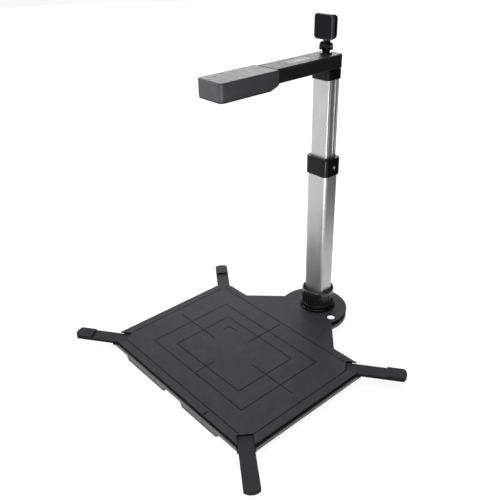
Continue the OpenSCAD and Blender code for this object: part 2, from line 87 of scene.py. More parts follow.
SHELL_SCREWS = (
    (-0.13, -0.06), (0.13, -0.06), (-0.13, 0.06), (0.13, 0.06), (0, -0.095), (0, 0.095)
)
# each foot from its left to its right end, and whether it is in front or behind
FEET = ((-0.122, -0.020, -1), (0.020, 0.103, -1), (-0.122, -0.020, 1), (0.020, 0.103, 1))
FOOT_DEPTH = 0.018
WALL = 0.002  # the tubes and the housings
WAIST_R = 0.0246
WAIST_SIDES = 160
RIB_OUT = 0.0015  # how far the ring nut's ribs stand out
RIM_R = 0.026
RIM_SIDES = 144
RING_BORE = 0.0239
PIN_BORE = 0.00505
# the upper tube's grooves: from, to and how deep, across its narrow sides
GROOVES = ((-0.0035, 0.0035, 0.0012), (-0.008, -0.0064, 0.0008), (0.0064, 0.008, 0.0008))
SLOPE = 0.015  # the head's rising end, along the boom
SEAM_RISE = 0.0066
# the second camera's dome: how much each step narrows, and its share of the height
DOME_STEPS = (
    (0.985, 0.19), (0.98, 0.19), (0.97, 0.17), (0.955, 0.15), (0.93, 0.13), (0.87, 0.10),
    (0.65, 0.07),
)
PAST = 0.01  # how far a cutter reaches beyond what it cuts
ABOVE = 0.001  # the same for the grooves in the pad's top

pad_lo, pad_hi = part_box("base_top")
pad_y = pad_lo.y + PAD_DEPTH / 2
pad_top = pad_hi.z
disc_y = pad_hi.y - DISC_R
floor_z = cad_box[0][2]


def middle(node):
    """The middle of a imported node's box."""
    lo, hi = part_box(node)
    return (lo + hi) / 2


column_mid = middle("lower_tube")


def on_pad(x, y, z):
    """A place measured from the middle of the pad."""
    return Vector((x, y + pad_y, z))


# ================= working with a mesh =================
def leave():
    """Object mode, with nothing selected."""
    if bpy.context.object and bpy.context.object.mode != "OBJECT":
        bpy.ops.object.mode_set(mode="OBJECT")
    bpy.ops.object.select_all(action="DESELECT")


def take(ob):
    leave()
    ob.select_set(True)
    bpy.context.view_layer.objects.active = ob


def call(ob, name):
    ob.name = name
    ob.data.name = name
    return ob


def settle(ob):
    """Moves the object's place and turn into its mesh."""
    take(ob)
    bpy.ops.object.transform_apply(location=True, rotation=True, scale=True)
    return ob


def block(name, lo, hi):
    """A block from its lowest to its highest corner."""
    leave()
    mid = [(a + b) / 2 for a, b in zip(lo, hi)]
    bpy.ops.mesh.primitive_cube_add(size=1, location=mid)
    ob = bpy.context.object
    ob.scale = [b - a for a, b in zip(lo, hi)]
    return settle(call(ob, name))


def drum(name, mid, radius, length, along="Z", sides=96):
    """A round bar of that length about mid."""
    leave()
    turn = {"X": (0, pi / 2, 0), "Y": (pi / 2, 0, 0), "Z": (0, 0, 0)}[along]
    bpy.ops.mesh.primitive_cylinder_add(
        vertices=sides, radius=radius, depth=length, location=mid, rotation=turn
    )
    return settle(call(bpy.context.object, name))


def pick(ob, kind, test):
    """Edit mode, with only the faces, edges or points that pass the test."""
    take(ob)
    bpy.ops.object.mode_set(mode="EDIT")
    bpy.ops.mesh.select_mode(type=kind)
    bpy.ops.mesh.select_all(action="DESELECT")
    bm = bmesh.from_edit_mesh(ob.data)
    for part in {"FACE": bm.faces, "EDGE": bm.edges, "VERT": bm.verts}[kind]:
        if test(part):
            part.select_set(True)
    bmesh.update_edit_mesh(ob.data)


def runs(axis):
    """Test for a straight edge that runs along X, Y or Z."""
    i = "XYZ".index(axis)

    def test(edge):
        d = edge.verts[1].co - edge.verts[0].co
        return abs(d[i]) > 0.999 * d.length

    return test


def facing(up, where):
    """Test for a level face that looks up (1) or down (-1), by its middle."""
    return lambda f: f.normal.z * up > 0.9 and where(f.calc_center_median())


def near(place, reach):
    """Test for a point less than that far from the place, seen from above."""
    return lambda c: (c.xy - place.xy).length < reach


def sharp(edge, degrees=30):
    return len(edge.link_faces) == 2 and edge.calc_face_angle(0) > radians(degrees)


def rim(axis, place, where=None):
    """Test for the sharp edges that lie in the plane axis = place."""
    i = "XYZ".index(axis)

    def test(edge):
        if any(abs(v.co[i] - place) > 2e-6 for v in edge.verts) or not sharp(edge):
            return False
        return where is None or where((edge.verts[0].co + edge.verts[1].co) / 2)

    return test


def round_off(ob, test, width, steps=3):
    pick(ob, "EDGE", test)
    bpy.ops.mesh.bevel(
        offset=width, offset_type="OFFSET", segments=steps, profile=0.5, affect="EDGES"
    )
    leave()
    return ob


def tidy(ob):
    """Merges stray points and flat neighbours after a cut."""
    pick(ob, "VERT", lambda v: True)
    bpy.ops.mesh.remove_doubles(threshold=1e-6)
    bpy.ops.mesh.select_all(action="SELECT")
    bpy.ops.mesh.dissolve_limited(angle_limit=radians(0.4))
    leave()
    return ob


def carve(ob, *tools, how="DIFFERENCE"):
    """Takes the tools out of the piece, adds them, or keeps what is in them."""
    for tool in tools:
        take(ob)
        step = ob.modifiers.new("carve", "BOOLEAN")
        step.operation = how
        step.solver = "EXACT"
        step.object = tool
        bpy.ops.object.modifier_apply(modifier=step.name)
        bpy.data.objects.remove(tool)
    return tidy(ob)


def join(ob, *others):
    """One piece out of several."""
    take(ob)
    for other in others:
        other.select_set(True)
    bpy.ops.object.join()
    return ob


def ease(ob, width, steps=2, degrees=35):
    """Takes the sharpness off every edge that is left."""
    take(ob)
    step = ob.modifiers.new("ease", "BEVEL")
    step.width = width
    step.segments = steps
    step.limit_method = "ANGLE"
    step.angle_limit = radians(degrees)
    step.use_clamp_overlap = True
    bpy.ops.object.modifier_apply(modifier=step.name)
    return ob


def bar(name, lo, hi, radius, steps=8, along="Z"):
    """A block with its four edges along one axis rounded."""
    return round_off(block(name, lo, hi), runs(along), radius, steps)


def softened(name, node, width, steps):
    """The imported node's own shape, merged, with its edges eased."""
    ob = bpy.data.objects.new(name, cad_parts[node].data.copy())
    bpy.context.scene.collection.objects.link(ob)
    call(ob, name)
    ob.data.materials.clear()
    take(ob)
    if ob.data.has_custom_normals:
        bpy.ops.mesh.customdata_custom_splitnormals_clear()
    return ease(tidy(ob), width, steps)


def finish_piece(ob, body, node, slot, *finishes, turn=30):
    """Shades and paints a piece, hangs it on what it rides on, and hides the node that it replaces.
    """
    take(ob)
    bpy.ops.object.shade_smooth_by_angle(angle=radians(turn))
    bpy.ops.object.modifier_add(type="WEIGHTED_NORMAL")
    ob.modifiers[-1].keep_sharp = True
    bpy.ops.object.modifier_apply(modifier=ob.modifiers[-1].name)
    ob.data.materials.clear()
    for one in finishes:
        ob.data.materials.append(one)
    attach(ob, body)
    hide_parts(node)
    leave()


def carry_over(name, node, width, body, slot, finish, steps=2):
    """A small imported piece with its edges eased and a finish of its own."""
    finish_piece(softened(name, node, width, steps), body, node, slot, finish)


def repaint(node, finish):
    """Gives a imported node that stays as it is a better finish."""
    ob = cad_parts[node]
    for slot in ob.material_slots:
        slot.material = finish
    if not ob.material_slots:
        ob.data.materials.append(finish)


# ================= finishes =================
class Recipe:
    """A finish being mixed: its shader, and patterns in the piece's own metres."""

    def __init__(self, name, colour, rough, metal=0.0, specular=0.5, coat=0.0):
        self.finish = bpy.data.materials.new(name)
        self.finish.use_nodes = True
        self.tree = self.finish.node_tree
        self.shader = self.tree.nodes["Principled BSDF"]
        self.place = self.tree.nodes.new("ShaderNodeTexCoord").outputs["Object"]
        self.colour = colour
        self.rough = rough
        self.set("Base Color", (*colour, 1))
        self.set("Roughness", rough)
        self.set("Metallic", metal)
        self.set("Specular IOR Level", specular)
        self.set("Coat Weight", coat)
        self.set("Coat Roughness", 0.08)
        self.height = None

    def set(self, socket, value):
        self.shader.inputs[socket].default_value = value

    def wire(self, a, b):
        self.tree.links.new(a, b)

    def coordinates(self, stretch):
        """Where a pattern reads its place, stretched where the finish asks for it."""
        if stretch is None:
            return self.place
        node = self.tree.nodes.new("ShaderNodeMapping")
        node.inputs["Scale"].default_value = stretch
        self.wire(self.place, node.inputs["Vector"])
        return node.outputs["Vector"]

    def cloud(self, size, detail=3.0, stretch=None):
        """Soft noise whose patches are about that many metres across."""
        node = self.tree.nodes.new("ShaderNodeTexNoise")
        node.inputs["Scale"].default_value = 1.0 / size
        node.inputs["Detail"].default_value = detail
        self.wire(self.coordinates(stretch), node.inputs["Vector"])
        return node.outputs["Fac"]

    def cells(self, size):
        """Small rounded cells, as in a spark-eroded mould."""
        node = self.tree.nodes.new("ShaderNodeTexVoronoi")
        node.feature = "SMOOTH_F1"
        node.inputs["Scale"].default_value = 1.0 / size
        node.inputs["Smoothness"].default_value = 0.6
        self.wire(self.place, node.inputs["Vector"])
        return node.outputs["Distance"]

    def between(self, pattern, low, high, start=0.3, end=0.7):
        """The pattern's values from start to end, spread from low to high."""
        node = self.tree.nodes.new("ShaderNodeMapRange")
        node.inputs["From Min"].default_value = start
        node.inputs["From Max"].default_value = end
        node.inputs["To Min"].default_value = low
        node.inputs["To Max"].default_value = high
        self.wire(pattern, node.inputs["Value"])
        return node.outputs["Result"]

    def maths(self, what, a, b):
        node = self.tree.nodes.new("ShaderNodeMath")
        node.operation = what
        for value, socket in ((a, node.inputs[0]), (b, node.inputs[1])):
            if isinstance(value, (int, float)):
                socket.default_value = value
            else:
                self.wire(value, socket)
        return node.outputs[0]

    def shade(self, pattern, spread):
        """The base colour, darker and lighter by that share where the pattern says."""
        node = self.tree.nodes.new("ShaderNodeValToRGB")
        for stop, at, k in zip(node.color_ramp.elements, (0.3, 0.7), (1 - spread, 1 + spread)):
            stop.position = at
            stop.color = (*[min(1.0, c * k) for c in self.colour], 1)
        self.wire(pattern, node.inputs["Fac"])
        self.wire(node.outputs["Color"], self.shader.inputs["Base Color"])
        self.paint = node.outputs["Color"]

    def fleck(self, pattern, colour, start, end):
        """A second colour laid over the first where the pattern is high."""
        node = self.tree.nodes.new("ShaderNodeMix")
        node.data_type = "RGBA"
        self.wire(self.between(pattern, 0.0, 1.0, start, end), node.inputs["Factor"])
        self.wire(self.paint, node.inputs["A"])
        node.inputs["B"].default_value = (*colour, 1)
        self.wire(node.outputs["Result"], self.shader.inputs["Base Color"])
        self.paint = node.outputs["Result"]

    def uneven(self, pattern, spread, start=0.3, end=0.7):
        """Roughness that wanders about its middle value."""
        low = max(0.02, self.rough - spread)
        high = min(1.0, self.rough + spread)
        self.wire(self.between(pattern, low, high, start, end), self.shader.inputs["Roughness"])

    def relief(self, pattern, depth):
        """Bumps of that depth, on top of those already there."""
        node = self.tree.nodes.new("ShaderNodeBump")
        node.inputs["Distance"].default_value = depth
        node.inputs["Strength"].default_value = 1.0
        self.wire(pattern, node.inputs["Height"])
        if self.height is not None:
            self.wire(self.height, node.inputs["Normal"])
        self.height = node.outputs["Normal"]
        self.wire(self.height, self.shader.inputs["Normal"])


def moulded(name, colour, rough, grain=0.0007, depth=0.00005, spread=0.10, specular=0.4):
    """Textured plastic: mould grain, a faint mottle, dust in the low spots."""
    r = Recipe(name, colour, rough, specular=specular)
    r.shade(r.cloud(0.016, 5), spread)
    r.fleck(r.cloud(0.0009, 2), [min(1, c * 1.9 + 0.01) for c in colour], 0.60, 0.86)
    r.uneven(r.cloud(0.006, 4), 0.06)
    r.relief(r.cells(grain), depth)
    r.relief(r.cloud(0.0025, 3), depth * 0.8)
    return r.finish


def smooth_black(name, colour, rough, specular, peel=0.00002):
    """Smooth dark plastic: a slight orange peel, handling marks, hairlines."""
    r = Recipe(name, colour, rough, specular=specular)
    r.shade(r.cloud(0.02, 4), 0.18)
    marks = r.between(r.cloud(0.018, 6), 0.0, 1.0, 0.42, 0.68)
    hair = r.between(r.cloud(0.0016, 2, (1.0, 1.0, 0.06)), 0.0, 0.6, 0.62, 0.74)
    r.uneven(r.maths("MAXIMUM", marks, hair), 0.07, 0.0, 1.0)
    r.relief(r.cloud(0.004, 2), peel)
    return r.finish


def anodised(name, colour, rough, stretch=(1.0, 1.0, 0.006)):
    """Blasted and anodised aluminium: fine die lines, and a part that scatters."""
    r = Recipe(name, colour, rough, metal=0.74)
    drawn = r.cloud(0.0005, 3, stretch)
    r.shade(drawn, 0.05)
    r.fleck(r.cloud(0.03, 4), [c * 0.9 for c in colour], 0.45, 0.75)
    lines = r.maths("MULTIPLY", drawn, 0.7)
    patches = r.maths("MULTIPLY", r.cloud(0.02, 3), 0.3)
    r.uneven(r.maths("ADD", lines, patches), 0.07)
    r.relief(drawn, 0.000006)
    return r.finish


def plated(name, colour, rough, grain=0.0006):
    """Bright plated steel with a fine turned surface."""
    r = Recipe(name, colour, rough, metal=1.0)
    r.shade(r.cloud(0.003, 4), 0.08)
    r.uneven(r.cloud(grain, 3), 0.08)
    r.relief(r.cloud(grain, 2), 0.00001)
    return r.finish


def rubber(name, colour, rough=0.8):
    """Dull rubber with dust on it."""
    r = Recipe(name, colour, rough, specular=0.25)
    r.shade(r.cloud(0.008, 5), 0.2)
    r.fleck(r.cloud(0.0012, 3), (0.09, 0.088, 0.085), 0.62, 0.85)
    r.uneven(r.cloud(0.004, 3), 0.08)
    r.relief(r.cloud(0.0005, 3), 0.00006)
    return r.finish


def circuit(name, colour):
    """Solder mask over copper tracks, with pads and small holes."""
    r = Recipe(name, colour, 0.32, specular=0.5, coat=0.3)
    r.shade(r.cloud(0.006, 4), 0.12)
    bricks = r.tree.nodes.new("ShaderNodeTexBrick")
    bricks.inputs["Scale"].default_value = 220.0
    bricks.inputs["Mortar Size"].default_value = 0.03
    r.wire(r.place, bricks.inputs["Vector"])
    r.fleck(bricks.outputs["Fac"], [min(1, c * 2.0 + 0.02) for c in colour], 0.3, 0.9)
    spots = r.between(r.cells(0.0035), 1.0, 0.0, 0.10, 0.22)
    r.fleck(spots, (0.72, 0.52, 0.18), 0.5, 0.9)
    r.relief(bricks.outputs["Fac"], 0.00003)
    return r.finish


def clear(name, colour, rough, amount):
    """Glass or tinted window: faint smears, an even tint."""
    r = Recipe(name, colour, rough, specular=0.5, coat=0.4)
    r.set("Transmission Weight", amount)
    r.set("IOR", 1.49)
    r.shade(r.cloud(0.01, 2), 0.06)
    r.uneven(r.cloud(0.006, 4), 0.03)
    r.relief(r.cloud(0.008, 1), 0.000004)
    return r.finish


def milky(name, colour):
    """A plastic or gel that lets some light in."""
    r = Recipe(name, colour, 0.45, specular=0.4)
    r.set("Subsurface Weight", 0.2)
    r.set("Subsurface Radius", (0.002, 0.002, 0.002))
    r.shade(r.cloud(0.004, 2), 0.03)
    r.uneven(r.cloud(0.002, 2), 0.05)
    r.relief(r.cells(0.0012), 0.00006)
    return r.finish


pad_charcoal = moulded(
    "pad charcoal", (0.044, 0.0415, 0.0475), 0.45, 0.0006, 0.00003, specular=0.12
)
# the grooves' dark print, and painted shade on the pad's side faces and at the arms' channel mouths
print_and_shade_black = moulded("line black", (0.006, 0.006, 0.0065), 0.6, 0.0005, 0.00003, specular=0.1)
# painted shade: black for the gap under the pad's edge, the shell's top band, the feet's lower rim
# and the arms' sides
painted_shade_black = moulded("skirt black", (0.006, 0.006, 0.0065), 0.6, 0.0008, 0.00004, specular=0.15)
shell_grey = moulded("shell grey", (0.125, 0.124, 0.128), 0.5, specular=0.2)
arm_charcoal = moulded("arm charcoal", (0.029, 0.0275, 0.031), 0.45, 0.0006, 0.00003, specular=0.12)
inner_black = moulded("inner black", (0.02, 0.02, 0.022), 0.6)
foot_rubber = rubber("foot rubber", (0.014, 0.014, 0.015))
cable_rubber = rubber("cable jacket", (0.015, 0.015, 0.016), 0.6)
ballast_zinc = plated("ballast zinc", (0.35, 0.36, 0.37), 0.4, 0.002)
screw_zinc = plated("screw zinc", (0.62, 0.63, 0.65), 0.28)
pin_steel = plated("pin steel", (0.5, 0.5, 0.52), 0.3)
cast_alloy = plated("cast alloy", (0.30, 0.31, 0.32), 0.5, 0.0012)
satin_black = smooth_black("satin black", (0.006, 0.006, 0.0066), 0.26, specular=0.14)
gloss_black = smooth_black("gloss black", (0.005, 0.005, 0.0055), 0.15, specular=0.3)
column_silver = anodised("column silver", (0.50, 0.495, 0.50), 0.38)
acetal = moulded("natural acetal", (0.74, 0.74, 0.71), 0.4, 0.001, 0.00002, 0.03)
boom_satin = smooth_black("boom satin", (0.012, 0.012, 0.013), 0.36, specular=0.2)
boom_cover = moulded("boom cover", (0.030, 0.030, 0.032), 0.40, 0.0006, 0.00003, specular=0.22)
plate_satin = anodised("plate satin", (0.33, 0.33, 0.335), 0.45, (0.05, 1.0, 1.0))
head_texture = moulded("head texture", (0.042, 0.042, 0.046), 0.4, 0.0008, 0.00005)
head_under = moulded("head underside", (0.020, 0.020, 0.022), 0.48, 0.0008, 0.00005)
board_green = circuit("board green", (0.02, 0.12, 0.05))
board_white = circuit("board white", (0.82, 0.82, 0.80))
chip_epoxy = moulded("chip epoxy", (0.03, 0.03, 0.033), 0.5, 0.0004, 0.00002)
lens_anodised = smooth_black("lens matt black", (0.010, 0.010, 0.010), 0.5, specular=0.3)
lens_glass = clear("lens glass", (0.50, 0.58, 0.75), 0.04, 0.85)
window_tint = clear("window tint", (0.04, 0.045, 0.055), 0.05, 0.5)
phosphor = milky("phosphor", (0.88, 0.76, 0.32))
opal = milky("opal diffuser", (0.88, 0.88, 0.85))
panel_black = smooth_black(
    "panel black", (0.004, 0.004, 0.0055), 0.14, specular=0.10, peel=0.000002
)
case_black = smooth_black("case black", (0.050, 0.050, 0.052), 0.34, specular=0.5)
ring_black = smooth_black("ring black", (0.016, 0.016, 0.0165), 0.26, specular=0.7)


# ================= base =================
def slab(name, inset, z0, z1):
    """The pad, its neck and the round base, drawn in by inset all round."""
    w = pad_hi.x - inset
    y0 = pad_lo.y + inset
    y1 = pad_lo.y + PAD_DEPTH - inset
    pad = bar(name, (-w, y0, z0), (w, y1, z1), CORNER_R - inset / 2, 8)
    reach = NECK_X + PAD_DEPTH / 2 - inset * sqrt(2) + pad_y
    n0 = pad_lo.y + PAD_DEPTH - 0.012
    n1 = disc_y - 0.006
    neck = block("neck", (n0 - reach, n0, z0), (reach - n0, n1, z1))
    pick(neck, "VERT", lambda v: v.co.y > n1 - 1e-5)
    bpy.ops.transform.resize(value=((reach - n1) / (reach - n0), 1, 1))
    leave()
    disc = drum("disc", (0, disc_y, (z0 + z1) / 2), DISC_R - inset, z1 - z0, sides=160)
    return carve(pad, neck, disc, how="UNION")


def in_corners(make):
    """Whatever make() builds along +X, turned to each of the four corners."""
    found = []
    for key, sx, sy in (("fl", -1, -1), ("fr", 1, -1), ("bl", -1, 1), ("br", 1, 1)):
        ob = make(key)
        ob.rotation_euler.z = sy * DIAG if sx > 0 else pi - sy * DIAG
        ob.location = (0, pad_y, 0)
        found.append(settle(ob))
    return found


def channel(width, start, z0):
    """Maker of a cutter for the way that an arm slides in."""
    lo = (start, -width / 2, z0)
    hi = (start + 0.08, width / 2, z0 + 0.04)
    return lambda key: block("channel", lo, hi)


def frame_line(size):
    """One paper outline as a square-edged ring."""
    w = size[0] / 2 + LINE_W / 2
    d = size[1] / 2 + LINE_W / 2
    z0 = pad_top - LINE_D
    z1 = pad_top + ABOVE
    ring = block("ring", on_pad(-w, -d, z0), on_pad(w, d, z1))
    w -= LINE_W
    d -= LINE_W
    return carve(ring, block("inside", on_pad(-w, -d, z0 - ABOVE), on_pad(w, d, z1 + ABOVE)))


def line(x0, y0, x1, y1):
    """A straight groove cutter, from one end to the other."""
    h = LINE_W / 2
    lo = on_pad(x0 - h, y0 - h, pad_top - LINE_D)
    return block("line", lo, on_pad(x1 + h, y1 + h, pad_top + ABOVE))


def make_pad():
    cover_z = pad_top - PLATE_T
    pad = slab("pad_cover", 0, cover_z, pad_top)
    round_off(pad, rim("Z", pad_top), 0.0007, 3)
    round_off(pad, rim("Z", cover_z), 0.0003, 2)
    carve(pad, *in_corners(channel(ARM_W + 0.001, MOUTH, pad_top - 0.02)))
    carve(pad, join(*[frame_line(size) for size in PAPERS]))
    carve(pad, join(*[line(*ends) for ends in CROSS_LINES]))
    carve(pad, *[line(*ends) for ends in CORNER_MARK])
    notch_lo = on_pad(0.075, -0.1165, pad_top - 0.0012)
    notch = block("notch", notch_lo, on_pad(0.077, -0.1085, pad_top + ABOVE))
    hole_mid = on_pad(*CABLE_HOLE, pad_top)
    hole = drum("hole", hole_mid, 0.0065, 0.02)
    seat = drum("seat", (0, column_mid.y, pad_top), 0.0154, 0.02)
    carve(pad, notch, hole, seat)
    round_off(pad, rim("Z", pad_top, near(hole_mid, 0.008)), 0.0004, 2)
    finish_piece(pad, "base", "base_top", "pad_cover", pad_charcoal, print_and_shade_black)
    # the pad's side faces and channel mouths get the black as painted shade; the grooves' floors
    # and walls get it as their dark print
    for face in pad.data.polygons:
        if abs(face.normal.z) < 0.3 or face.center.z < pad_top - 0.0003:
            face.material_index = 1

    z0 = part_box("base_shell")[1].z + 0.0003
    # a band set in under the pad's edge, painted black as the shade in that gap
    skirt = slab("pad_skirt", 0.0025, z0, cover_z + 0.0003)
    carve(skirt, slab("inside", 0.0045, z0 - PAST, pad_top + PAST))
    carve(skirt, *in_corners(channel(ARM_W + 0.0044, MOUTH - 0.006, z0 - PAST)))
    finish_piece(skirt, "base", "base_top", "pad_cover", painted_shade_black)


def foot_block(lo, hi, radius, steps):
    """A foot moulded under the shell, its corners and lower rim rounded."""
    foot = bar("foot", lo, hi, radius, steps)
    return round_off(foot, rim("Z", lo[2]), 0.0008, 2)


def make_shell():
    lo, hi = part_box("base_shell")
    z0 = hi.z - 0.010
    z1 = hi.z
    shell = slab("lower_shell", 0.0004, z0, z1)
    round_off(shell, rim("Z", z0), 0.0014, 4)
    round_off(shell, rim("Z", z1), 0.0004, 2)
    carve(shell, slab("cavity", 0.0029, z0 + 0.002, z1 + PAST))
    arm_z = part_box("arm_fl")[0].z
    carve(shell, *in_corners(channel(ARM_W + 0.004, MOUTH, arm_z - 0.0018)))
    # the cable's slot in the floor, from the hole towards the column
    start = on_pad(*CABLE_HOLE, 0)
    way = on_pad(*CABLE_END, 0) - start
    half = 0.0075
    slot_lo = (-half, -half, z0 - 0.002)
    slot = bar("slot", slot_lo, (way.length + half, half, z0 + 0.004), half - 0.00001, 12)
    slot.rotation_euler.z = atan2(way.y, way.x)
    slot.location = (start.x, start.y, 0)
    carve(shell, settle(slot), drum("bolt", (0, column_mid.y, z0), 0.0043, 0.01))
    for x, y in SHELL_SCREWS:
        carve(shell, drum("screw hole", on_pad(x, y, z0), 0.0034, 0.002, sides=32))
    foot_z = z0 + 0.001
    feet = []
    for x0, x1, side in FEET:
        y = PAD_DEPTH / 2 - 0.001 - FOOT_DEPTH
        if side < 0:
            y = -PAD_DEPTH / 2 + 0.001
        corner = on_pad(x0, y, lo.z)
        feet.append(foot_block(corner, on_pad(x1, y + FOOT_DEPTH, foot_z), 0.0015, 3))
    rear_y = disc_y + 0.038
    rear_lo = (-0.022, rear_y - 0.012, lo.z)
    feet.append(foot_block(rear_lo, (0.022, rear_y + 0.012, foot_z), 0.008, 8))
    # the shell's top band and the feet's lower rim get the black: painted shade under the pad's
    # edge and along the floor
    pick(shell, "FACE", lambda f: True)
    bpy.ops.mesh.bisect(plane_co=(0, 0, z1 - SHADE_BAND), plane_no=(0, 0, 1))
    join(shell, *feet)
    finish_piece(shell, "base", "base_shell", "shell_grey", shell_grey, painted_shade_black)
    for face in shell.data.polygons:
        if face.center.z > z1 - SHADE_BAND or face.center.z < lo.z + 0.0008:
            face.material_index = 1


def make_feet():
    """Rubber pads with a rounded foot edge and a shallow grip field."""
    for key in ("fl", "fr", "bl", "br", "rear"):
        node = "foot_pad_" + key
        lo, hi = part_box(node)
        pad = bar("rubber_" + key, lo, hi, 0.006 if key == "rear" else 0.002, 6)
        round_off(pad, rim("Z", lo.z), 0.0004, 2)
        pick(pad, "FACE", facing(-1, lambda c: c.z < lo.z + 1e-5))
        bpy.ops.mesh.inset(thickness=0.0009)
        bpy.ops.mesh.inset(thickness=0.0004, depth=-0.0004)
        finish_piece(pad, "base", node, "rubber_black", foot_rubber)


def make_arms():
    lo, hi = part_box("arm_fl")
    bar_top = lo.z + ARM_T
    tip_x = ARM_OUT - TIP_LEN
    arc_x = ARM_OUT - TIP_ARC

    def arm(key):
        inner = (ARM_IN, -ARM_W / 2, lo.z)
        ob = block("corner_arm_" + key, inner, (ARM_OUT, ARM_W / 2, bar_top))
        pick(ob, "FACE", lambda f: True)
        bpy.ops.mesh.bisect(plane_co=(tip_x, 0, 0), plane_no=(1, 0, 0))
        pick(ob, "FACE", facing(1, lambda c: c.x > tip_x))
        rise = {"value": (0, 0, hi.z - bar_top)}
        bpy.ops.mesh.extrude_region_move(TRANSFORM_OT_translate=rise)
        leave()
        end = drum("end", (arc_x, 0, 0.02), TIP_ARC, 0.04, sides=160)
        run = block("run", (0.1, -ARM_W, 0), (arc_x, ARM_W, 0.04))
        carve(ob, carve(run, end, how="UNION"), how="INTERSECT")
        round_off(ob, rim("Z", hi.z), 0.0009, 4)
        return ease(ob, 0.0003, 2)

    for ob in in_corners(arm):
        key = ob.name[-2:]
        finish_piece(ob, "corner_arm_" + key, "arm_" + key, "arm_grey", arm_charcoal, painted_shade_black)
        # the arms' sides get the black as painted shade; their tops keep the charcoal
        for face in ob.data.polygons:
            if face.normal.z < 0.3:
                face.material_index = 1


# ================= column =================
def grown(node, by):
    """A node's box, larger by that much in plan."""
    lo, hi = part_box(node)
    return lo - Vector((by, by, 0)), hi + Vector((by, by, 0))


def bore(lo, hi, radius, z0, z1, steps=8):
    """A cutter with a tube's plan, from z0 to z1."""
    return bar("bore", (lo.x, lo.y, z0), (hi.x, hi.y, z1), radius, steps)


def make_ring():
    lo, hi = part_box("ring_nut")
    y = column_mid.y
    mid_z = (lo.z + hi.z) / 2
    tall = hi.z - lo.z
    rib_r = WAIST_R + 0.0012

    def on_rib(face):
        """Two of every four faces round the waist stand out as a rib."""
        c = face.calc_center_median()
        turn = atan2(c.y - y, c.x) / (2 * pi)
        return abs(face.normal.z) < 0.1 and int(round(turn * WAIST_SIDES - 0.5)) % 4 < 2

    def rib_edge(edge):
        outside = not near(column_mid, rib_r)(edge.verts[0].co)
        return runs("Z")(edge) and sharp(edge, 40) and outside

    waist_mid = (0, y, mid_z - 0.0015)
    proud = {"value": RIB_OUT}
    waist = drum("ring_nut", waist_mid, WAIST_R, tall - 0.012, sides=WAIST_SIDES)
    pick(waist, "FACE", on_rib)
    bpy.ops.mesh.extrude_region_shrink_fatten(TRANSFORM_OT_shrink_fatten=proud)
    leave()
    round_off(waist, rib_edge, 0.0004, 3)
    rims = []
    for z0, z1, width in ((lo.z, lo.z + 0.005, 0.0009), (hi.z - 0.008, hi.z, 0.0022)):
        one = drum("rim", (0, y, (z0 + z1) / 2), RIM_R, z1 - z0, sides=RIM_SIDES)
        round_off(one, rim("Z", z1), width, 4)
        rims.append(round_off(one, rim("Z", z0), 0.0007, 2))
    for one in (waist, *rims):
        carve(one, drum("bore", (0, y, mid_z), RING_BORE, tall + 2 * PAST, sides=RIM_SIDES))
    round_off(rims[1], rim("Z", hi.z, near(column_mid, RING_BORE + 0.0003)), 0.0004, 2)
    join(waist, *rims)
    finish_piece(waist, "locking_ring", "ring_nut", "black_gloss", ring_black)

    lo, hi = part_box("ring_flange")
    mid = (0, y, (lo.z + hi.z) / 2)
    flange = drum("ring_flange_turned", mid, (hi.x - lo.x) / 2, hi.z - lo.z, sides=160)
    round_off(flange, rim("Z", hi.z), 0.0013, 5)
    round_off(flange, rim("Z", lo.z), 0.0003, 2)
    carve(flange, drum("bore", (0, y, lo.z), 0.0153, 0.03))
    finish_piece(flange, "base", "ring_flange", "black_gloss", gloss_black)


def make_tubes():
    lo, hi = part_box("lower_tube")
    wall = Vector((WALL, WALL, 0))
    lower = bar("column_lower", lo, hi, 0.0064, 12)
    carve(lower, bore(lo + wall, hi - wall, 0.0044, lo.z - PAST, hi.z + PAST))
    round_off(lower, rim("Z", hi.z), 0.0003, 2)
    finish_piece(lower, "base", "lower_tube", "column_alu", column_silver)

    lo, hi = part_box("upper_tube")
    upper = bar("column_upper", lo, hi, 0.0025, 6)
    y = column_mid.y
    for x in (lo.x, hi.x):
        for y0, y1, d in GROOVES:
            side = (x - d, y + y0, lo.z - PAST)
            carve(upper, block("groove", side, (x + d, y + y1, hi.z + PAST)))
    wall = Vector((0.003, 0.0018, 0))
    carve(upper, bore(lo + wall, hi - wall, 0.002, lo.z - PAST, hi.z + PAST, 4))
    ease(upper, 0.00015, 2)
    finish_piece(upper, "mast", "upper_tube", "column_alu", column_silver)


def make_collar():
    lo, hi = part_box("clamp_collar")
    collar = bar("column_collar", lo, hi, 0.0095, 12)
    round_off(collar, rim("Z", hi.z), 0.0013, 4)
    round_off(collar, rim("Z", lo.z), 0.0013, 4)
    a, b = grown("lower_tube", 0.0001)
    carve(collar, bore(a, b, 0.0065, lo.z - PAST, b.z + 0.0016))
    a, b = grown("upper_tube", 0.0003)
    carve(collar, bore(a, b, 0.0028, lo.z - PAST, hi.z + PAST))
    y = column_mid.y
    z = (lo.z + hi.z) / 2
    carve(collar, drum("screw way", (hi.x - 0.003, y, z), 0.0021, 0.012, "X", 32))
    carve(collar, drum("screw seat", (hi.x + 0.004, y, z), 0.0036, 0.0094, "X", 48))
    round_off(collar, rim("Z", hi.z), 0.0004, 2)
    finish_piece(collar, "base", "clamp_collar", "black_satin", satin_black)
    carry_over("collar_screw", "clamp_screw", 0.0002, "base", "screw_steel", screw_zinc)

    lo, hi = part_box("boom_socket")
    socket = bar("socket_cap", lo, hi, 0.006, 12)
    round_off(socket, rim("Z", hi.z), 0.0010, 3)
    round_off(socket, rim("Z", lo.z), 0.0010, 3)
    a, b = grown("upper_tube", 0.00005)
    carve(socket, bore(a, b, 0.0025, lo.z - PAST, lo.z + 0.008))
    carve(socket, drum("pin way", (0, y, hi.z), PIN_BORE, 0.04, sides=48))
    finish_piece(socket, "mast", "boom_socket", "black_satin", satin_black)


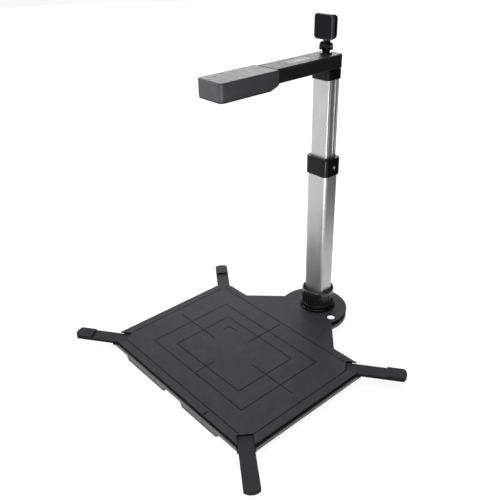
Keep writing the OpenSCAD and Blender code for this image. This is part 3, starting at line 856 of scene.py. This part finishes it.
# ================= boom and head =================
def make_boom():
    top_lo, top_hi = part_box("boom_lid")
    lo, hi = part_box("boom_channel")
    y0 = top_lo.y
    y1 = top_hi.y

    def back(edge):
        return runs("Z")(edge) and edge.verts[0].co.y > y0 + 0.06

    boom = block("boom_bar", (lo.x, y0, lo.z), (hi.x, y1, hi.z))
    round_off(boom, back, 0.005, 8)
    round_off(boom, rim("Z", lo.z), 0.0012, 4)
    round_off(boom, rim("Z", hi.z), 0.0003, 2)
    hollow_lo = (lo.x + WALL, y0 + WALL, lo.z + 0.0025)
    carve(boom, bar("hollow", hollow_lo, (hi.x - WALL, y1 - WALL, hi.z + PAST), 0.003, 4))
    carve(boom, drum("pin way", (0, column_mid.y, lo.z), PIN_BORE, 0.012, sides=48))
    usb_lo, usb_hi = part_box("usb_socket")
    mouth_lo = (usb_lo.x - 0.0002, y1 - 0.004, usb_lo.z - 0.0001)
    mouth_hi = (usb_hi.x + 0.0002, y1 + 0.004, usb_hi.z + 0.0002)
    carve(boom, block("mouth", mouth_lo, mouth_hi))
    screws_lo, screws_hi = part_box("boom_screws")
    for y in (screws_lo.y + 0.0024, screws_hi.y - 0.0024):
        carve(boom, drum("screw seat", (0, y, lo.z), 0.0026, 0.0038, sides=32))
    tongue = block("tongue", (-0.014, lo.y, lo.z + 0.0013), (0.014, y0 + 0.001, lo.z + 0.015))
    way_lo = (-0.012, lo.y - PAST, lo.z + 0.0025)
    carve(tongue, block("wire way", way_lo, (0.012, y0 + PAST, lo.z + 0.013)))
    join(boom, tongue)
    finish_piece(boom, "boom", "boom_channel", "boom_black", boom_satin)

    cover = block("boom_cover", top_lo, top_hi)
    round_off(cover, back, 0.005, 8)
    round_off(cover, rim("Z", top_hi.z), 0.0009, 4)
    round_off(cover, rim("Z", top_lo.z), 0.0002, 2)
    a, b = grown("nameplate", 0.0001)
    carve(cover, bar("plate seat", a, (b.x, b.y, b.z + PAST), 0.0004, 2))
    flange = middle("subcam_flange")
    carve(cover, drum("stem way", (0, flange.y, top_hi.z), 0.0032, 0.01, sides=48))
    finish_piece(cover, "boom", "boom_lid", "boom_grey", boom_cover)


def make_plate():
    """The blank plate on the boom, with one dark line along it."""
    lo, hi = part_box("nameplate")
    plate = bar("blank_plate", lo, hi, 0.0004, 3)
    round_off(plate, rim("Z", hi.z), 0.0002, 2)
    mid = (lo + hi) / 2
    long_way = 1 if hi.y - lo.y > hi.x - lo.x else 0
    half = Vector((0.0007, 0.0007, 0.001))
    half[long_way] = (hi - lo)[long_way] / 2 - 0.003
    line_lo = (mid.x - half.x, mid.y - half.y, hi.z - 0.0002)
    line_hi = (mid.x + half.x, mid.y + half.y, hi.z + half.z)
    carve(plate, block("dark line", line_lo, line_hi))
    finish_piece(plate, "boom", "nameplate", "plate_silver", plate_satin, print_and_shade_black)
    for face in plate.data.polygons:
        if face.normal.z > 0.9 and lo.z + 0.0001 < face.center.z < hi.z - 0.00015:
            face.material_index = 1
    carry_over("boom_screws_zinc", "boom_screws", 0.00015, "boom", "screw_steel", pin_steel)


def head_form(name, lo, hi, radius):
    """The head's plan: round corners in front, nearly square ones at the boom."""
    ob = block(name, lo, hi)
    mid = (lo[1] + hi[1]) / 2
    square = 0.0015 if radius > 0.005 else 0.0005
    round_off(ob, lambda e: runs("Z")(e) and e.verts[0].co.y < mid, radius, 12)
    return round_off(ob, lambda e: runs("Z")(e) and e.verts[0].co.y > hi[1] - 1e-5, square, 3)


def slice_off(ob, a, b):
    """Cuts away what lies below the line from a to b, both in the plane X = 0."""
    run = Vector(b) - Vector(a)
    down = Vector((0, run.z, -run.y)).normalized()
    pick(ob, "FACE", lambda f: True)
    bpy.ops.mesh.bisect(
        plane_co=a, plane_no=down, use_fill=True, clear_outer=True, threshold=1e-6
    )
    leave()


def make_head():
    lo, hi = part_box("head_shell")
    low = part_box("head_bottom")[0].z
    front = lo.y
    full = hi.y
    seam = lo.z
    rise = (0, full, low + SEAM_RISE)
    seam_bend = (0, full - SLOPE, seam)
    shell = head_form("head_cover", lo, hi, 0.006)
    round_off(shell, rim("Z", seam), 0.0006, 3)
    slice_off(shell, seam_bend, rise)
    round_off(shell, rim("Z", hi.z), 0.0018, 5)
    wall = Vector((WALL, WALL, 0))
    hollow_lo = lo + wall - Vector((0, 0, PAST))
    hollow_hi = hi - wall - Vector((0, 0, WALL))
    carve(shell, head_form("hollow", hollow_lo, hollow_hi, 0.004))
    boom_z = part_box("boom_channel")[0].z
    mouth_lo = (-0.0142, full - 0.006, boom_z - 0.002)
    carve(shell, block("mouth", mouth_lo, (0.0142, full + 0.006, boom_z + 0.0152)))
    ease(shell, 0.0003, 2)
    finish_piece(shell, "boom", "head_shell", "head_grey", head_texture)

    # the lower cover rises towards the boom, and its seam with it
    lo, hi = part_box("head_bottom")
    under = head_form("head_under", lo, (hi.x, full - 0.0003, low + SEAM_RISE), 0.0057)
    slice_off(under, (0, full - SLOPE - 0.0005, low), (0, full, low + SEAM_RISE - 0.001))
    above_lo = (lo.x - PAST, lo.y - PAST, seam)
    above = block("above the seam", above_lo, (hi.x + PAST, full + PAST, low + 0.02))
    slice_off(above, seam_bend, rise)
    carve(under, above)
    round_off(under, rim("Z", low), 0.0008, 3)
    led_lo, led_hi = grown("led_diffuser", 0.0001)
    pocket_y = (front + full) / 2 - 0.008
    w = 0.0195
    d = 0.03625
    pocket_lo = (-w, pocket_y - d, lo.z + 0.0018)
    carve(under, bar("pocket", pocket_lo, (w, pocket_y + d, hi.z + PAST), 0.003, 4))
    lens_way = ((lo.x + hi.x) / 2, middle("lens_window").y, lo.z)
    carve(under, drum("lens way", lens_way, 0.0082, 0.02))
    light_lo = (led_lo.x, led_lo.y, lo.z - PAST)
    carve(under, bar("light way", light_lo, (led_hi.x, led_hi.y, hi.z + PAST), 0.003, 6))
    for x in (-0.0155, 0.0155):
        for y in (front + 0.006, full - 0.022):
            carve(under, drum("screw seat", (x, y, lo.z), 0.0024, 0.0016, sides=32))
    ease(under, 0.0002, 2)
    finish_piece(under, "boom", "head_bottom", "head_grey", head_under)
    carry_over("head_window", "lens_window", 0.0002, "boom", "window_tint", window_tint)
    carry_over("light_diffuser", "led_diffuser", 0.0003, "boom", "diffuser_milk", opal)
    carry_over("head_screws_zinc", "head_screws", 0.00015, "boom", "screw_steel", pin_steel)


# ================= second camera =================
def make_camera_case():
    lo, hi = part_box("subcam_frame")
    case = bar("second_camera_case", lo, hi, 0.005, 10, "Y")
    round_off(case, rim("Y", lo.y), 0.0009, 4)
    round_off(case, rim("Y", hi.y), 0.0005, 2)
    lip = Vector((0.0012, 0, 0.0012))
    seat_lo = lo + lip - Vector((0, PAST, 0))
    seat_hi = Vector((hi.x, lo.y + 0.001, hi.z)) - lip
    carve(case, bar("glass seat", seat_lo, seat_hi, 0.0044, 8, "Y"))
    hollow_lo = lo + Vector((WALL, WALL, WALL))
    hollow_hi = hi + Vector((-WALL, PAST, -WALL))
    carve(case, bar("hollow", hollow_lo, hollow_hi, 0.004, 6, "Y"))
    carve(case, drum("lens way", (0, lo.y, (lo.z + hi.z) / 2), 0.003, 0.02, "Y", 48))
    finish_piece(case, "second_camera", "subcam_frame", "black_gloss", case_black)

    lo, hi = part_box("subcam_glass")
    glass = bar("second_camera_panel", lo, hi, 0.0043, 8, "Y")
    round_off(glass, rim("Y", lo.y), 0.00015, 2)
    eye = (0, lo.y, ((lo + hi) / 2).z)
    ring = drum("ring", eye, 0.0037, 0.0002, "Y", 64)
    carve(ring, drum("core", eye, 0.0033, 0.002, "Y", 64))
    carve(glass, ring)
    finish_piece(glass, "second_camera", "subcam_glass", "subcam_glass_black", panel_black)


def make_camera_back():
    """The plate behind the case, its dome drawn out in steps, and the knuckle."""
    f_lo, f_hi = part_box("subcam_frame")
    step = 0.0005
    plate_lo = Vector((f_lo.x + step, f_hi.y, f_lo.z + step))
    plate_hi = Vector((f_hi.x - step, f_hi.y + 0.0026, f_hi.z - step))
    back = bar("second_camera_back", plate_lo, plate_hi, 0.0047, 10, "Y")
    pick(back, "FACE", lambda f: f.normal.y > 0.95 and len(f.verts) > 20)
    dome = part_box("subcam_back")[1].y - plate_hi.y - 0.0001
    for k, share in DOME_STEPS:
        bpy.ops.mesh.extrude_region_move(TRANSFORM_OT_translate={"value": (0, share * dome, 0)})
        bpy.ops.transform.resize(value=(k, 1, k))
    leave()
    pin_lo, pin_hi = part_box("subcam_pin")
    axis = Vector((0, (pin_lo.y + pin_hi.y) / 2, (pin_lo.z + pin_hi.z) / 2))
    half = 0.0031
    knuckle = drum("knuckle", axis, 0.0052, 2 * half, "X", 64)
    arm_hi = (half, axis.y + 0.0052, f_lo.z + 0.0015)
    carve(knuckle, block("arm", (-half, axis.y - 0.003, axis.z), arm_hi), how="UNION")
    ease(knuckle, 0.0004, 3)
    carve(knuckle, drum("pin way", axis, 0.00155, 0.02, "X", 32))
    join(back, knuckle)
    finish_piece(back, "second_camera", "subcam_back", "black_satin", satin_black, turn=40)

    stem = "second_camera_stem"
    carry_over("second_camera_fork", "subcam_stem", 0.0004, stem, "black_satin", satin_black, 3)
    carry_over("tilt_pin", "subcam_pin", 0.0002, stem, "screw_steel", screw_zinc)
    carry_over("swivel_seat", "subcam_flange", 0.0003, "boom", "black_satin", satin_black, 3)


# ================= the pieces inside, and small hardware =================
def make_hardware():
    carry_over("column_bolt_zinc", "column_bolt", 0.0003, "base", "screw_steel", screw_zinc)
    carry_over("base_screws_zinc", "base_screws", 0.0002, "base", "screw_steel", screw_zinc)
    carry_over("usb_shell", "usb_socket", 0.0001, "boom", "screw_steel", screw_zinc)
    collet = "column_collet"
    carry_over("column_collet_black", collet, 0.0004, "base", "black_satin", satin_black)
    for finish, nodes in (
        (ballast_zinc, ("ballast_plate",)),
        (inner_black, ("arm_guide_fl", "arm_guide_fr", "arm_guide_bl", "arm_guide_br")),
        (cast_alloy, ("column_socket", "column_plug")),
        (acetal, ("tube_bush", "tube_slider", "swivel_washer")),
        (pin_steel, ("swivel_pin",)),
        (screw_zinc, ("swivel_nut",)),
        (cable_rubber, ("mast_harness",)),
        (board_green, ("camera_board", "main_board", "subcam_board")),
        (chip_epoxy, ("image_sensor",)),
        (lens_anodised, ("lens_holder", "lens_barrel")),
        (lens_glass, ("front_lens", "subcam_lens")),
        (board_white, ("led_board",)),
        (phosphor, ("led_chips",)),
    ):
        for node in nodes:
            repaint(node, finish)


make_pad()
make_shell()
make_feet()
make_arms()
make_ring()
make_tubes()
make_collar()
make_boom()
make_plate()
make_head()
make_camera_case()
make_camera_back()
make_hardware()


# ================= floor, light and camera =================
def studio_finish(ob, name, grey, specular):
    """A plain finish for what stands round the object. Returns its shader's sockets."""
    finish = bpy.data.materials.new(name)
    finish.use_nodes = True
    ob.data.materials.append(finish)
    sockets = finish.node_tree.nodes["Principled BSDF"].inputs
    sockets["Base Color"].default_value = (grey, grey, grey, 1)
    sockets["Specular IOR Level"].default_value = specular
    return sockets


def hang_lamp(name, place, size, power):
    lamp = bpy.data.lights.new(name, "AREA")
    lamp.shape = "SQUARE"
    lamp.size = size
    lamp.energy = power
    ob = bpy.data.objects.new(name, lamp)
    ob.location = place
    ob.visible_camera = False
    bpy.context.scene.collection.objects.link(ob)
    return ob


def make_studio():
    leave()
    bpy.ops.mesh.primitive_plane_add(size=60, location=(0, 0, floor_z))
    ground = call(bpy.context.object, "floor")
    sockets = studio_finish(ground, "pale floor", 0.3, 0.1)
    sockets["Emission Color"].default_value = (1, 1, 1, 1)
    sockets["Emission Strength"].default_value = 0.86
    sockets["Roughness"].default_value = 0.9

    world = bpy.data.worlds.new("studio")
    world.use_nodes = True
    sky = world.node_tree.nodes["Background"].inputs
    sky["Color"].default_value = (1, 1, 1, 1)
    sky["Strength"].default_value = 0.22
    bpy.context.scene.world = world

    # a dark card at the right, unseen itself, keeps the right-hand faces deep
    bpy.ops.mesh.primitive_plane_add(
        size=1,
        location=(0.27, column_mid.y + 0.235, floor_z + 0.45),
        rotation=(radians(90), 0, radians(-49)),
    )
    card = call(bpy.context.object, "card")
    card.scale = (0.8, 0.9, 1)
    studio_finish(card, "card black", 0.01, 0.0)
    card.visible_camera = False
    card.visible_shadow = False

    for name, place, aim, size, power in (
        ("overhead soft box", (-0.3, 0.2, 2.6), (0, 0, 0), 2.4, 34),
        ("left soft box", (-2.6, -1.6, 1.2), (0, 0, 0.25), 1.0, 32),
        ("back soft box", (-3.0, 2.6, 1.0), (0, 0, 0.3), 2.6, 60),
        ("front soft box", (1.1, -1.4, 1.8), (0, 0, 0.1), 1.4, 13),
    ):
        box = hang_lamp(name, place, size, power)
        look = Vector(aim) - Vector(place)
        box.rotation_euler = look.to_track_quat("-Z", "Y").to_euler()
    # just over the floor and facing up, for the edges of the column and the head
    strip = hang_lamp("low front strip", (0.54, -0.56, floor_z + 0.004), 0.24, 8.5)
    strip.data.shape = "RECTANGLE"
    strip.data.size_y = 0.6
    strip.rotation_euler = (radians(180), 0, radians(41))
    bpy.context.scene.view_settings.view_transform = "Standard"


def make_camera():
    az = radians(48.98)
    el = radians(29.38)
    roll = radians(-1.34)
    back = Vector((sin(az) * cos(el), -cos(az) * cos(el), sin(el)))
    right = Vector((cos(az), sin(az), 0))
    up = back.cross(right)
    across = right * cos(roll) + up * sin(roll)
    above = up * cos(roll) - right * sin(roll)
    data = bpy.data.cameras.new("camera")
    data.lens = 44.17
    data.sensor_width = 36
    data.clip_start = 0.01
    data.clip_end = 200
    ob = bpy.data.objects.new("camera", data)
    turn = Matrix((across, above, back)).transposed().to_4x4()
    ob.matrix_world = Matrix.Translation((0.58473, -0.50832, 0.62376)) @ turn
    bpy.context.scene.collection.objects.link(ob)
    bpy.context.scene.camera = ob


make_studio()
make_camera()
